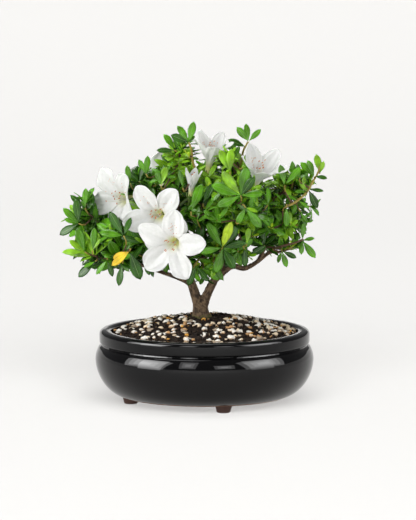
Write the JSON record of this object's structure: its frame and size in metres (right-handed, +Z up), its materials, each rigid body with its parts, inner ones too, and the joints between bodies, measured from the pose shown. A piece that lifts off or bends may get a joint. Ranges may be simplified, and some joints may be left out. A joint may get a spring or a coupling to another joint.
{
  "type": "azalea bonsai in a round glazed pot",
  "caption": "Small azalea bonsai with white trumpet blossoms and whorled leaves, forked trunk, in a round black glazed pot of soil and grit",
  "frame": {"origin": "on the ground, under the middle of the bounding box of the whole plant and pot; the pot's own axis is at X 8.5 mm, Y -1.7 mm", "axes": "+Z up; the side seen in the picture faces -Y; +X is to the right in the picture"},
  "size_m": [0.2228, 0.1882, 0.2342],
  "materials": {
    "black_glaze": "gloss",
    "bare_clay": "matte",
    "soil_and_grit": "matte",
    "bark": "matte",
    "leaf": "satin",
    "petal": "matte"
  },
  "bodies": {
    "root": {"pot": "black_glaze", "pot_foot_right": "bare_clay", "pot_foot_back": "bare_clay", "pot_foot_left": "bare_clay", "pot_foot_front": "bare_clay", "soil": "soil_and_grit", "trunk": "bark", "stem_left": "bark", "stem_right": "bark", "bough_left": "bark", "bough_left_rise": "bark", "bough_left_back": "bark", "bough_left_front": "bark", "bough_middle": "bark", "bough_right": "bark", "bough_right_rise": "bark", "bough_right_top": "bark", "bough_front": "bark", "bough_low_front": "bark", "bough_back": "bark", "bough_back_left": "bark", "bough_back_right": "bark", "foliage_left_low": "leaf", "foliage_left_high": "leaf", "foliage_left_back": "leaf", "foliage_left_front": "leaf", "foliage_top_left": "leaf", "foliage_top": "leaf", "foliage_middle": "leaf", "foliage_front": "leaf", "foliage_low_front": "leaf", "foliage_right_top": "leaf", "foliage_right_middle": "leaf", "foliage_right_low": "leaf", "foliage_back_left": "leaf", "foliage_back": "leaf", "foliage_back_right": "leaf", "blossom_front": "petal", "blossom_upper_front": "petal", "blossom_left": "petal", "blossom_top": "petal", "blossom_right": "petal", "blossom_half_open": "petal", "blossom_back_left": "petal", "blossom_back_right": "petal"}
  },
  "joints": []
}
